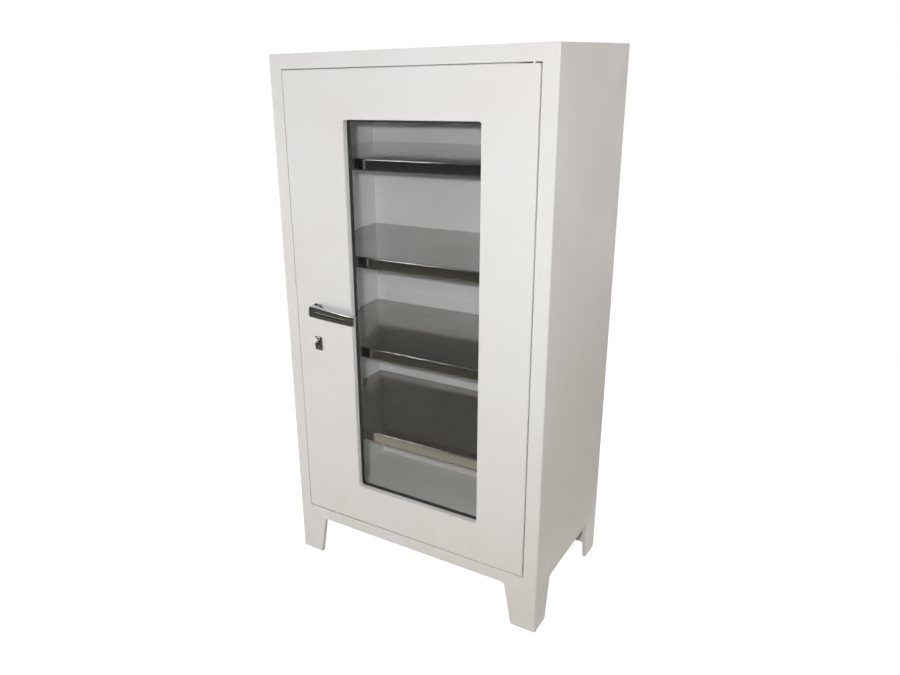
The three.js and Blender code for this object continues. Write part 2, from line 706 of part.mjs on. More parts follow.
// Flat rod with a fork round its crank pin; side is -1 left of the spindle, 1 right of it
function rod(side, [pinX, pinZ], end) {
  const middle = side * rodShift;
  const gap = CRANK_PIN + FORK_PLAY;
  const inner = pinX - side * (CRANK_PIN + FORK_PLAY);
  const fingers = [-1, 1].map((way) => {
    const near = pinZ + way * gap;
    return box([middle, inner], rodY, [near, near + way * FORK_FINGER]);
  });
  const start = pinZ + side * (gap + FORK_FINGER);
  return join(box(around(middle, ROD_WIDE), rodY, [start, end]), ...fingers);
}

// Block on the door's face that a rod slides in
function rodGuide(side, z) {
  const middle = side * rodShift;
  const play = FORK_PLAY / 2;
  const [near, far] = rodY;
  const blockX = around(middle, ROD_WIDE + GUIDE_WALL);
  const wayX = around(middle, ROD_WIDE + 2 * play);
  const block = box(blockX, [SHEET, far + SHEET], around(z, GUIDE_TALL));
  return cut(block, box(wayX, [near - play, far + play], around(z, 2 * GUIDE_TALL)));
}

const spindle = lying(SPINDLE_RADIUS, [0, 0], [-SPINDLE_SOCKET, camBack], 16);
const spindleSeat = cut(
  lying(NECK_RADIUS + GUIDE_WALL, [0, 0], [SHEET, CAM_SETBACK - FIT]),
  lying(SPINDLE_RADIUS + FIT, [0, 0], [0, CAM_SETBACK]),
);
const doorTopZ = door.high - HANDLE_HEIGHT;
const doorLowZ = door.low - HANDLE_HEIGHT;
piece(latch, 'handle_rose', 'chrome', rose());
piece(latch, 'handle_lever', 'chrome', lever());
piece(latch, 'handle_spindle', 'zinc', spindle);
piece(latch, 'spindle_bearing', 'zinc', spindleSeat);
piece(latch, 'latch_cam', 'zinc', cam());
piece(latch, 'latch_rod_upper', 'zinc', rod(-1, pinPlaces.upper, doorTopZ - ROD_INSET));
piece(latch, 'latch_rod_lower', 'zinc', rod(1, pinPlaces.lower, doorLowZ + ROD_INSET));
piece(latch, 'rod_guide_upper', 'zinc', rodGuide(-1, doorTopZ - GUIDE_INSET));
piece(latch, 'rod_guide_lower', 'zinc', rodGuide(1, doorLowZ + GUIDE_INSET));

// Lock
const caseX = around(lockX, LOCK_WIDE);
const boltEnd = caseX[0] + BOLT_THROW + BOLT_GRIP;

function lockCase() {
  return cut(
    box(caseX, [SHEET, SHEET + LOCK_DEEP], around(lockZ, LOCK_TALL)),
    boltHole([caseX[0] - CUT_PAST, boltEnd + FIT], FORK_PLAY / 2),
    keyhole(0, boltY - BOLT_THICK / 2, FIT),
  );
}

const bolt = box(
  [door.left + SHEET / 2, boltEnd],
  around(boltY, BOLT_THICK),
  around(lockZ, BOLT_TALL),
);
piece(doorGroup, 'lock_case', 'zinc', lockCase());
piece(doorGroup, 'lock_bolt', 'brass', bolt);

const plateX = around(lockX, PLATE_WIDE);
const plateZ = around(lockZ, PLATE_TALL);
const plateThrough = [-PLATE_THICK - CUT_PAST, CUT_PAST];
const screwTool = (z) => lying(SCREW_RADIUS + FIT, [lockX, z], plateThrough, 12);
const sunkBack = SCREW_HEAD_THICK - PLATE_THICK; // lower screw's head, level with the plate's face
const plate = cut(
  runBack(roundedRect(plateX, plateZ, WINDOW_CORNER / 2), [-PLATE_THICK, 0], 3),
  keyhole(...plateThrough, 0),
  screwTool(screwHigh),
  screwTool(screwLow),
  lying(SCREW_HEAD + FIT, [lockX, screwLow], [plateThrough[0], sunkBack], 16),
);
piece(doorGroup, 'lock_escutcheon', 'chrome', plate);

function screw(z, headBack) {
  return join(
    lying(SCREW_RADIUS, [lockX, z], [headBack - SCREW_HEAD_THICK / 2, SHEET - FIT], 12),
    lying(SCREW_HEAD, [lockX, z], [headBack - SCREW_HEAD_THICK, headBack], 16),
  );
}

// Keyhole cover on the upper screw, pushed aside to the left. It hangs over the keyhole and the sunk
// head of the lower screw.
const coverY = [-PLATE_THICK - SHEET - FIT, -PLATE_THICK - FIT];
const coverGroup = new THREE.Group();
coverGroup.position.set(lockX, 0, screwHigh);
coverGroup.rotation.y = THREE.MathUtils.degToRad(COVER_ASIDE);
doorGroup.add(coverGroup);

function keyholeCover() {
  const ear = SCREW_HEAD + FIT;
  const shape = new THREE.Shape();
  shape.absarc(0, 0, ear, 0, Math.PI);
  shape.absarc(0, -COVER_REACH, COVER_RADIUS, Math.PI, 2 * Math.PI);
  const pivot = lying(SCREW_RADIUS + FIT, [0, 0], [coverY[0] - CUT_PAST, 0], 16);
  return cut(runBack(shape, coverY, 8), pivot);
}

piece(coverGroup, 'keyhole_cover', 'paint', keyholeCover());
piece(doorGroup, 'escutcheon_screw_upper', 'chrome', screw(screwHigh, coverY[0] - FIT));
piece(doorGroup, 'escutcheon_screw_lower', 'chrome', screw(screwLow, sunkBack));

// Rubber bumpers between the closed door and the stop lip
const bumperX = STILE + STOP_LIP / 2 + GAP_LATCH / 2;
const bumperY = [DOOR_DEPTH + FIT, railDepth];
for (const [place, z] of [['upper', door.high - BUMPER_INSET], ['lower', door.low + BUMPER_INSET]]) {
  piece(cabinet, `door_bumper_${place}`, 'rubber', lying(BUMPER_RADIUS, [bumperX, z], bumperY, 16));
}

export default part;
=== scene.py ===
"""Looks of a glass door medical cabinet: enamelled sheet, polished shelves, glass, chrome fittings."""

import json
import math

import bmesh
import bpy
from bpy.props import FloatProperty, FloatVectorProperty, IntProperty, PointerProperty
from mathutils import Matrix, Vector

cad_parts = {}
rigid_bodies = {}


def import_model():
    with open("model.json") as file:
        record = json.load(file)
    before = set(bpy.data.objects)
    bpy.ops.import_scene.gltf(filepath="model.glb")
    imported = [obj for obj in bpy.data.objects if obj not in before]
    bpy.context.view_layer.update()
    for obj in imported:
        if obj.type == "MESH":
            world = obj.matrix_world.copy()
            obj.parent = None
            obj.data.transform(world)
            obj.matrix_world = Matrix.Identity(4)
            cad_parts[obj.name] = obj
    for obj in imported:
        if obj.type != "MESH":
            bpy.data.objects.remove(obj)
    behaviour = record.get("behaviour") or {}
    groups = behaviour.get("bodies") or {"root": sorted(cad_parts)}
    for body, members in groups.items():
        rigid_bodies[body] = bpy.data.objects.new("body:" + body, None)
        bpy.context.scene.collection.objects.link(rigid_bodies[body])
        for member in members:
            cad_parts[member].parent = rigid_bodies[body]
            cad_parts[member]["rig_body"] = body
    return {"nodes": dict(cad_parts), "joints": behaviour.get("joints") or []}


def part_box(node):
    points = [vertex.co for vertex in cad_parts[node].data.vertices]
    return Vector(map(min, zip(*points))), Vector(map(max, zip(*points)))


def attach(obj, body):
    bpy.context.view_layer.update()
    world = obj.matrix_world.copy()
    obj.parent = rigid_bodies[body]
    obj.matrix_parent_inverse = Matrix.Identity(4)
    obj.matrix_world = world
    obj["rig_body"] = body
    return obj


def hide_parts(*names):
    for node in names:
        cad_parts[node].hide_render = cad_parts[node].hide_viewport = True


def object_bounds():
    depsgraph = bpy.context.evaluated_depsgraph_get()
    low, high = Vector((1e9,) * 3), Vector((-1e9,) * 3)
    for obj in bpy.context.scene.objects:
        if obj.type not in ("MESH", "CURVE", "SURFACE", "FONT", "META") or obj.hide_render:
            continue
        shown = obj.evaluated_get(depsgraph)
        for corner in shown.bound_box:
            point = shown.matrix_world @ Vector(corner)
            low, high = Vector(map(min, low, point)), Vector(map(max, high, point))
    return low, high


bl_info = {
    "name": "Glass Door Medical Cabinet",
    "version": (1, 0, 0),
    "blender": (4, 5, 0),
    "location": "3D View > Sidebar > Cabinet",
    "description": "Dresses the cabinet's solids with folded sheet, fittings, finishes and a stage",
    "category": "Add Mesh",
}

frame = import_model()
CAD_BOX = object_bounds()
NODES = frame["nodes"]
JOINTS = {joint["name"]: joint for joint in frame["joints"]}
MM = 0.001
SIDES = ("left", "right")
DEPTHS = ("front", "back")
SHELF_NAMES = sorted(name for name in NODES if name.startswith("shelf_"))

# Corners closer than this, in metres, are one
MERGE_DISTANCE = 1e-6
# Shading breaks past the first angle, sheet is folded past the second and flat below the third
SHARP_ANGLE = math.radians(38)
FOLD_ANGLE = math.radians(50)
FLAT_ANGLE = math.radians(0.5)
# A fold's faces are at least this many sheet thicknesses wide
FOLD_WIDTH = 1.5
# A screw's front faces point at least this far forward
FRONT_FACING = 0.5

# Steps round the lever's ends, along its hub and bar, round its bend and corners, and across its groove
END_STEPS = 6
HUB_STEPS = 3
BAR_STEPS = 8
BEND_STEPS = 8
CORNER_STEPS = 5
GROOVE_CUTS = 5

# Steps round the edges and curves of small fittings
FINE_STEPS = 2
EDGE_STEPS = 3
LIP_STEPS = 4
FLARE_STEPS = 5
BOSS_STEPS = 6
DOME_STEPS = 12
SMALL_STEPS = 32

# Shares of the lever's end rounding at its tip: towards the door and across the bar
TIP_ROUND = 0.6
TIP_THIN = 0.8

# Screw head from its rim inwards, as shares of its radius and thickness, and the cross cut in it
SCREW_DOME = ((1.0, 0.55), (0.92, 0.26), (0.76, 0.10), (0.5, 0.02), (0.0, 0.0))
SLOT_REACH = 0.62
SLOT_DEPTH = 0.55

# Second colour of a finish as a share of its first
ZINC_DULL = 0.72
BRASS_STAIN = 0.6
RUBBER_BLOOM = 2.4
GLASS_CLEAN = 1.03

# Stage, in metres, and the camera's sensor in millimetres
FLOOR_SIDE = 60.0
CARD_LIFT = 0.004
SENSOR_WIDTH = 36.0


# Settings

def length(name, description, millimetres):
    """A size that a user can change."""
    return FloatProperty(
        name=name, description=description, default=millimetres * MM, unit="LENGTH", precision=5)


def spot(name, description, metres):
    """A place on the stage."""
    return FloatVectorProperty(
        name=name, description=description, default=metres, unit="LENGTH", subtype="TRANSLATION")


def tint(name, description, shares):
    """A colour as shares of red, green and blue."""
    return FloatVectorProperty(
        name=name, description=description, default=shares, subtype="COLOR", min=0, max=1)


def power(name, description, watts):
    """A lamp's power."""
    return FloatProperty(name=name, description=description, default=watts, unit="POWER")


class CabinetSizes(bpy.types.PropertyGroup):
    """Sizes of the rounded edges and fittings"""

    sheet: length("Sheet", "Thickness of the painted and polished sheet", 1.2)
    leg_sheet: length("Leg Sheet", "Thickness of the sheet in the legs", 2.0)
    case_fold: length("Case Fold", "Outer radius of the folds in the case and legs", 3.0)
    door_fold: length("Door Fold", "Outer radius of the folds in the door", 2.2)
    shelf_fold: length("Shelf Fold", "Outer radius of the folds in the shelves", 3.0)
    top_edge: length("Top Edge", "Rounding of the top panel's upper edge", 1.1)
    small_edge: length("Small Edge", "Rounding of the edges of turned and cut pieces", 0.35)
    lever_edge: length("Lever Edge", "Rounding of the lever's long edges", 2.4)
    lever_round: length("Lever End", "Rounding of the lever's ends", 4.0)
    lever_thick: length("Lever Thickness", "Thickness of the lever's bar", 8.5)
    lever_tip_tall: length("Lever Tip", "Height of the lever at its turned-in end", 23.0)
    lever_bend: length("Lever Bend", "Inner radius of the bend at the lever's end", 2.5)
    lever_droop: FloatProperty(
        name="Lever Droop", description="Angle of the resting lever below level",
        subtype="ANGLE", default=math.radians(3.5))
    lever_groove: length("Lever Groove", "Depth of the groove along the lever's front", 0.9)
    groove_half: length("Groove Half", "Half the width of the lever's groove", 3.2)
    groove_start: length("Groove Start", "Spindle to the start of the lever's groove", 1.8)
    groove_end: length("Groove End", "Spindle to the end of the lever's groove", 100.8)
    lever_long: length("Lever Length", "Spindle to the lever's far end", 115.0)
    lever_hub: length("Lever Hub", "Spindle to the hub's end", 9.0)
    lever_hub_deep: length("Lever Hub Depth", "Depth of the hub from front to back", 12.75)
    lever_tall: length("Lever Height", "Height of the lever at its hub", 27.0)
    lever_rise: length("Lever Rise", "Middle of the lever's bar above the spindle", 4.0)
    lever_crown: length("Lever Crown", "Bow of the lever's front along its length", 1.0)
    lever_tip_gap: length("Lever Tip Gap", "Space between the lever's end and the door", 6.0)
    neck: length("Neck Radius", "Radius of the lever's round neck", 8.0)
    neck_bore: length("Neck Bore", "Radius of the hole for the spindle", 5.3)
    neck_flare: length("Neck Flare", "Radius of the neck where it meets the hub", 10.0)
    neck_sink: length("Neck Sink", "How far the neck reaches into the hub", 0.5)
    flare_long: length("Flare Length", "Length of the neck's flare", 2.2)
    rose_bore: length("Rose Bore", "Radius of the hole in the rose", 8.6)
    rose_rim: length("Rose Rim", "Height of the rose's rim above the door", 1.4)
    rose_edge: length("Rose Edge", "Chamfer of the rose's back edge", 0.4)
    rose_flat: length("Rose Flat", "Width of the rose's flat crest", 1.2)
    rose_lip: length("Rose Lip", "Width of the rounding into the rose's bore", 1.0)
    rose_lip_deep: length("Rose Lip Depth", "Depth of the rounding into the rose's bore", 0.8)
    screw_shank: length("Screw Shank", "Radius of a plate screw's shank", 2.0)
    screw_slot: length("Screw Slot", "Width of the cross cut in a screw's head", 0.9)
    screw_head: length("Screw Head", "Thickness of a plate screw's head", 1.5)
    cover_round: length("Cover Round", "Radius of the keyhole cover's round end", 7.0)
    boss: length("Cover Boss", "Radius of the dome on the keyhole cover", 6.58)
    boss_rise: length("Boss Rise", "Height of the dome on the keyhole cover", 1.2)
    boss_sink: length("Boss Sink", "How far the dome reaches into the keyhole cover", 0.1)
    fold_steps: IntProperty(
        name="Fold Steps", description="Flat strips round each fold", default=4, min=2, max=12)
    round_steps: IntProperty(
        name="Round Steps", description="Flat strips round a turned piece", default=64, min=16, max=128)


class CabinetFinishes(bpy.types.PropertyGroup):
    """Colours of the finishes"""

    paint: tint("Enamel", "Baked white enamel", (0.80, 0.80, 0.80))
    # Also the colour of the painted shade low down on the case
    paint_aged_and_shade: tint("Aged Enamel", "Enamel where it has yellowed or been handled", (0.755, 0.73, 0.695))
    # Dust colour, also used to paint shade near the floor
    floor_dust_and_shade: tint("Floor Dust", "Dust carried up from the floor", (0.55, 0.50, 0.44))
    steel: tint("Polished Steel", "Polished stainless sheet", (0.41, 0.397, 0.38))
    steel_dull: tint("Dull Steel", "Polished sheet where it is hazy", (0.36, 0.343, 0.32))
    chrome: tint("Chrome", "Bright plated fittings", (0.62, 0.62, 0.63))
    chrome_worn: tint("Worn Chrome", "Plating where hands have dulled it", (0.42, 0.41, 0.40))
    zinc: tint("Zinc", "Plated inner works", (0.52, 0.53, 0.52))
    # Dark brass: painted shade for the bolt seen through the keyhole
    brass: tint("Brass", "Turned brass", (0.22, 0.15, 0.065))
    rubber: tint("Rubber", "Black rubber seal", (0.022, 0.022, 0.020))
    glass: tint("Glass", "Tint of the pane", (0.975, 0.985, 0.98))
    glass_shadow: tint("Glass Shadow", "Share of lamp light that the pane lets through", (0.97, 0.98, 0.98))


class CabinetStage(bpy.types.PropertyGroup):
    """Camera, lamps and floor"""

    eye: spot("Eye", "Camera position", (0.82028, -1.46778, 1.16873))
    azimuth: FloatProperty(
        name="Azimuth", description="Camera's turn round the cabinet",
        subtype="ANGLE", default=math.radians(33.927))
    elevation: FloatProperty(
        name="Elevation", description="Camera's downward look",
        subtype="ANGLE", default=math.radians(19.548))
    roll: FloatProperty(
        name="Roll", description="Camera's lean", subtype="ANGLE", default=math.radians(-1.733))
    lens: FloatProperty(
        name="Lens", description="Focal length in millimetres", default=30.598, unit="CAMERA")
    shift: FloatVectorProperty(
        name="Shift", description="Framing of the view", size=2, default=(0.07197, 0.00131))
    key_power: power("Flash Power", "Watts of the small lamp beside the camera", 14.8)
    key_size: length("Flash Size", "Side of the small lamp", 30.0)
    key_place: spot("Flash Place", "Position of the small lamp", (0.745, -1.50, 1.215))
    front_power: power("Front Power", "Watts of the soft lamp before the door", 41.0)
    front_place: spot("Front Place", "Position of the soft lamp before the door", (-2.2, -1.7, 0.45))
    side_power: power("Side Power", "Watts of the soft lamp beside the cabinet", 20.5)
    side_place: spot("Side Place", "Position of the soft lamp beside the cabinet", (2.7, 0.1, 1.75))
    side_colour: tint("Side Colour", "Colour of the soft lamp beside the cabinet", (1.0, 0.965, 0.93))
    back_power: power("Back Power", "Watts of the soft lamp behind the cabinet", 24.0)
    back_place: spot("Back Place", "Position of the soft lamp behind the cabinet", (-0.5, 2.6, 1.3))
    ceiling_power: power("Ceiling Power", "Watts of the lamp that shines on the folds", 6.0)
    ceiling_place: spot("Ceiling Place", "Position of the lamp that shines on the folds", (-1.5, -2.1, 2.3))
    ceiling_size: length("Ceiling Size", "Side of the lamp that shines on the folds", 400.0)
    soft_size: length("Soft Size", "Side of the soft lamps", 1300.0)
    sky: FloatProperty(
        name="Sky", description="Strength of the even light all round", default=0.10)
    sky_colour: tint("Sky Colour", "Colour of the even light all round", (1.0, 0.955, 0.90))
    floor_glow: FloatProperty(
        name="Floor White", description="Share of white in the floor as it is seen",
        subtype="FACTOR", default=0.84, min=0, max=1)
    floor_colour: tint("Floor Colour", "Floor as it throws light back", (0.48, 0.43, 0.37))
    floor_shade: tint("Floor Shade", "Floor as it takes the shadow", (0.62, 0.62, 0.62))
    shadow_near: length("Shadow Near", "Reach of the full shadow from the middle of the floor", 900.0)
    shadow_far: length("Shadow Far", "Reach at which the floor is all white", 2200.0)
    room_low: tint("Room Low", "Mirrored room where it meets its floor", (0.10, 0.093, 0.078))
    room_high: tint("Room High", "Mirrored room a metre up and above", (0.032, 0.035, 0.045))
    floor_lit: tint("Lit Floor", "Mirrored floor close to the door", (0.62, 0.57, 0.47))
    beside_near: tint("Beside Near", "Mirrored floor close beside the cabinet", (0.42, 0.39, 0.33))
    beside_far: tint("Beside Far", "Mirrored floor further to the side", (0.60, 0.57, 0.52))


# Finishes

class NodeTree:
    """The cleared node tree of a material or world, with short ways to fill it"""

    def __init__(self, owner):
        owner.use_nodes = True
        self.tree = owner.node_tree
        self.tree.nodes.clear()

    def feed(self, node, inputs):
        """Give a node's inputs their values, or the sockets that feed them."""
        for key, value in inputs.items():
            if isinstance(value, bpy.types.NodeSocket):
                self.tree.links.new(value, node.inputs[key])
            else:
                node.inputs[key].default_value = value

    def node(self, kind, inputs=None, **settings):
        made = self.tree.nodes.new(kind)
        for key, value in settings.items():
            setattr(made, key, value)
        self.feed(made, inputs or {})
        return made

    def place(self):
        return self.node("ShaderNodeTexCoord").outputs["Object"]

    def maths(self, operation, first, second):
        return self.node("ShaderNodeMath", {0: first, 1: second}, operation=operation).outputs["Value"]

    def either(self, factor, first, second):
        """One shader, or the other where the factor is 1."""
        return self.node("ShaderNodeMixShader", {"Fac": factor, 1: first, 2: second}).outputs["Shader"]

    def ramp(self, factor, first, second, start=0.35, end=0.65):
        ramp = self.node("ShaderNodeValToRGB", {"Fac": factor})
        for element, position, colour in zip(ramp.color_ramp.elements, (start, end), (first, second)):
            element.position = position
            element.color = (*colour, 1)
        return ramp.outputs["Color"]


class Finish(NodeTree):
    """A material whose patterns follow a piece's Object coordinates"""

    def __init__(self, name):
        self.material = bpy.data.materials.new(name)
        super().__init__(self.material)
        self.surface = self.node("ShaderNodeBsdfPrincipled")
        self.output = self.node("ShaderNodeOutputMaterial", {"Surface": self.surface.outputs["BSDF"]})
        self.where = self.place()

    def set(self, **inputs):
        """Values or sockets for the surface, named like its inputs."""
        self.feed(self.surface, {key.replace("_", " "): value for key, value in inputs.items()})

    def noise(self, scale, detail=3.0, roughness=0.5, stretch=(1, 1, 1)):
        mapping = self.node("ShaderNodeMapping", {"Vector": self.where, "Scale": stretch})
        noise = self.node("ShaderNodeTexNoise", {
            "Vector": mapping.outputs["Vector"], "Scale": scale, "Detail": detail, "Roughness": roughness})
        return noise.outputs["Fac"]

    def spread(self, factor, low, high, start=0.3, end=0.7):
        """Map a factor's range from start to end onto low to high."""
        inputs = {"Value": factor, "From Min": start, "From Max": end, "To Min": low, "To Max": high}
        spread = self.node("ShaderNodeMapRange", inputs, interpolation_type="SMOOTHSTEP")
        return spread.outputs["Result"]

    def cover(self, factor, pattern, colour):
        """Lay a plain colour over a pattern where the factor says."""
        mix = self.node(
            "ShaderNodeMix", {"Factor": factor, "A": pattern, "B": (*colour, 1)}, data_type="RGBA")
        return mix.outputs["Result"]

    def height(self):
        return self.node("ShaderNodeSeparateXYZ", {"Vector": self.where}).outputs["Z"]

    def bump(self, pattern, depth, strength, under=None):
        """Bumps of a depth in metres, over others where those are given."""
        inputs = {"Height": pattern, "Distance": depth, "Strength": strength}
        if under is not None:
            inputs["Normal"] = under
        return self.node("ShaderNodeBump", inputs).outputs["Normal"]


def white_enamel(colours):
    """Baked enamel with a fine orange peel, dulled in patches, with painted shade that makes it darker and
    warmer low down, and dust specks near the floor that also paint shade there.
    """
    finish = Finish("white_enamel")
    aged_and_shade = colours.paint_aged_and_shade
    tone = finish.ramp(finish.noise(scale=5.0, detail=2.0), colours.paint, aged_and_shade, start=0.45, end=0.95)
    # Painted shade: the enamel turns darker and warmer towards the bottom of the cabinet
    painted_low_shade = finish.spread(finish.height(), low=0.32, high=0.0, start=0.0, end=0.95)
    with_low_shade = finish.cover(painted_low_shade, tone, aged_and_shade)
    patches = finish.spread(finish.noise(scale=2.3, detail=4.0), low=0.0, high=0.55)
    touches = finish.maths("MULTIPLY", patches, finish.noise(scale=14.0, detail=5.0))
    handled = finish.cover(touches, with_low_shade, aged_and_shade)
    # Dust specks near the floor, which also paint shade there
    dust_and_shade_near_floor = finish.spread(finish.height(), low=0.26, high=0.0, start=0.0, end=0.34)
    specks = finish.spread(
        finish.noise(scale=38.0, detail=6.0, roughness=0.65), low=0.15, high=1.0, start=0.35, end=0.75)
    dusty_and_shaded = finish.cover(finish.maths("MULTIPLY", dust_and_shade_near_floor, specks), handled, colours.floor_dust_and_shade)
    gloss = finish.spread(finish.noise(scale=9.0, detail=5.0), low=0.36, high=0.52)
    waves = finish.bump(finish.noise(scale=4.5, detail=1.0), depth=2.0 * MM, strength=0.10)
    peel = finish.bump(finish.noise(scale=520.0, detail=2.0), depth=0.12 * MM, strength=0.22, under=waves)
    finish.set(Base_Color=dusty_and_shaded, Roughness=gloss, Normal=peel)
    return finish.material


def polished_steel(colours):
    """Bright sheet with a soft haze, slight waves and fine polishing lines along X."""
    finish = Finish("polished_steel")
    haze = finish.noise(scale=11.0, detail=5.0, roughness=0.6)
    tone = finish.ramp(haze, colours.steel, colours.steel_dull, start=0.4, end=0.75)
    lines = finish.noise(scale=90.0, detail=4.0, roughness=0.6, stretch=(0.25, 12, 12))
    waves = finish.bump(finish.noise(scale=5.0, detail=1.0), depth=2.0 * MM, strength=0.12)
    brushed = finish.bump(lines, depth=0.02 * MM, strength=0.10, under=waves)
    finish.set(
        Base_Color=tone, Metallic=1.0, Roughness=finish.spread(haze, low=0.05, high=0.13), Normal=brushed)
    return finish.material


def chrome_plate(colours):
    """Bright plating, duller where hands have worn it."""
    finish = Finish("chrome_plate")
    wear = finish.noise(scale=55.0, detail=5.0, roughness=0.6)
    tone = finish.ramp(wear, colours.chrome, colours.chrome_worn, start=0.45, end=0.8)
    ripple = finish.bump(finish.noise(scale=120.0, detail=2.0), depth=0.15 * MM, strength=0.08)
    finish.set(
        Base_Color=tone, Metallic=1.0, Roughness=finish.spread(wear, low=0.06, high=0.17), Normal=ripple)
    return finish.material


def zinc_plate(colours):
    """Plating with a faint spangle of crystals."""
    finish = Finish("zinc_plate")
    spangle = finish.node("ShaderNodeTexVoronoi", {"Vector": finish.where, "Scale": 160.0})
    dull = tuple(ZINC_DULL * part for part in colours.zinc)
    tone = finish.ramp(spangle.outputs["Distance"], colours.zinc, dull, start=0.1, end=0.9)
    gloss = finish.spread(finish.noise(scale=70.0), low=0.30, high=0.48)
    grain = finish.bump(finish.noise(scale=600.0, detail=2.0), depth=0.05 * MM, strength=0.2)
    finish.set(Base_Color=tone, Metallic=1.0, Roughness=gloss, Normal=grain)
    return finish.material


def shaded_brass(colours):
    """Brass darkened well below its own colour as painted shade where the bolt shows through the keyhole,
    stained in patches, with fine turning marks.
    """
    finish = Finish("shaded_brass")
    stain = tuple(BRASS_STAIN * part for part in colours.brass)
    tone = finish.ramp(
        finish.noise(scale=90.0, detail=5.0), colours.brass, stain, start=0.4, end=0.8)
    gloss = finish.spread(finish.noise(scale=150.0), low=0.22, high=0.42)
    marks = finish.noise(scale=300.0, detail=2.0, stretch=(1, 1, 9))
    finish.set(
        Base_Color=tone, Metallic=1.0, Roughness=gloss,
        Normal=finish.bump(marks, depth=0.03 * MM, strength=0.25))
    return finish.material


def black_rubber(colours):
    """Dull rubber with a pale bloom."""
    finish = Finish("black_rubber")
    bloom = tuple(RUBBER_BLOOM * part for part in colours.rubber)
    tone = finish.ramp(
        finish.noise(scale=60.0, detail=5.0), colours.rubber, bloom, start=0.45, end=0.8)
    gloss = finish.spread(finish.noise(scale=200.0), low=0.55, high=0.78)
    grain = finish.bump(finish.noise(scale=900.0, detail=2.0), depth=0.06 * MM, strength=0.3)
    finish.set(Base_Color=tone, Roughness=gloss, Normal=grain)
    return finish.material


def clear_glass(colours):
    """Glass pane that lets lamp light through to the shelves."""
    finish = Finish("clear_glass")
    cleaner = tuple(min(1.0, GLASS_CLEAN * part) for part in colours.glass)
    tone = finish.ramp(finish.noise(scale=3.0, detail=4.0), colours.glass, cleaner)
    finish.set(Base_Color=tone, Transmission_Weight=1.0, Roughness=0.0, IOR=1.5)
    clear = finish.node("ShaderNodeBsdfTransparent", {"Color": (*colours.glass_shadow, 1)})
    lamp_ray = finish.node("ShaderNodeLightPath").outputs["Is Shadow Ray"]
    pane = finish.either(lamp_ray, finish.surface.outputs["BSDF"], clear.outputs["BSDF"])
    finish.feed(finish.output, {"Surface": pane})
    return finish.material


MAKERS = {
    "white_paint": white_enamel,
    "polished_steel": polished_steel,
    "chrome_plate": chrome_plate,
    "zinc_plate": zinc_plate,
    "brass": shaded_brass,
    "black_rubber": black_rubber,
    "clear_glass": clear_glass,
}
finishes = {}


def finish_for(slot):
    if slot not in finishes:
        finishes[slot] = MAKERS[slot](bpy.context.scene.cabinet_finishes)
    return finishes[slot]


# Pieces

def merged_copy(node):
    """A node's solid with shared corners and whole flat faces."""
    bm = bmesh.new()
    bm.from_mesh(NODES[node].data)
    bmesh.ops.remove_doubles(bm, verts=bm.verts, dist=MERGE_DISTANCE)
    bmesh.ops.dissolve_limit(bm, angle_limit=FLAT_ANGLE, verts=bm.verts, edges=bm.edges)
    return bm


def round_edges(bm, edges, radius, steps):
    edges = [edge for edge in edges if edge.is_valid]
    if edges and radius > 0:
        bmesh.ops.bevel(
            bm, geom=edges, offset=radius, offset_type="OFFSET", segments=steps, profile=0.5,
            affect="EDGES", clamp_overlap=False, loop_slide=True, material=-1)


def mean_width(face):
    return 2 * face.calc_area() / face.calc_perimeter()


def round_folds(bm, sheet, radius, steps, keep=None):
    """Round a sheet's folds, the inner corners tighter by the sheet's thickness."""
    folds = []
    for edge in bm.edges:
        if len(edge.link_faces) != 2 or edge.calc_face_angle(0.0) < FOLD_ANGLE:
            continue
        if min(mean_width(face) for face in edge.link_faces) < FOLD_WIDTH * sheet:
            continue
        if keep is None or keep(edge):
            folds.append(edge)
    outer = [edge for edge in folds if edge.is_convex]
    inner = [edge for edge in folds if not edge.is_convex]
    round_edges(bm, outer, radius, steps)
    round_edges(bm, inner, radius - sheet, steps)


def smooth_shading(piece):
    piece.data.shade_smooth()
    piece.data.set_sharp_from_angle(angle=SHARP_ANGLE)
    even = piece.modifiers.new("Even Shading", "WEIGHTED_NORMAL")
    even.keep_sharp = True


def add_piece(name, bm, slot, node):
    """Turn a bmesh into a piece that stands for its node and rides on the node's body."""
    mesh = bpy.data.meshes.new(name)
    bm.to_mesh(mesh)
    bm.free()
    if not mesh.polygons:
        raise RuntimeError(f"{name} has no faces")
    mesh.materials.append(finish_for(slot))
    piece = bpy.data.objects.new(name, mesh)
    bpy.context.scene.collection.objects.link(piece)
    smooth_shading(piece)
    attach(piece, NODES[node]["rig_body"])
    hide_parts(node)


def finish_node(node, slot, edge=0.0):
    """Give a node its finish, and fine rounded edges where a width is given."""
    piece = NODES[node]
    piece.data.materials.clear()
    piece.data.materials.append(finish_for(slot))
    if edge <= 0:
        return
    weld = piece.modifiers.new("Shared Corners", "WELD")
    weld.merge_threshold = MERGE_DISTANCE
    flat = piece.modifiers.new("Whole Faces", "DECIMATE")
    flat.decimate_type = "DISSOLVE"
    flat.angle_limit = FLAT_ANGLE
    rounding = piece.modifiers.new("Fine Edges", "BEVEL")
    rounding.width = edge
    rounding.segments = FINE_STEPS
    rounding.limit_method = "ANGLE"
    rounding.angle_limit = FOLD_ANGLE
    rounding.use_clamp_overlap = True
    rounding.harden_normals = True


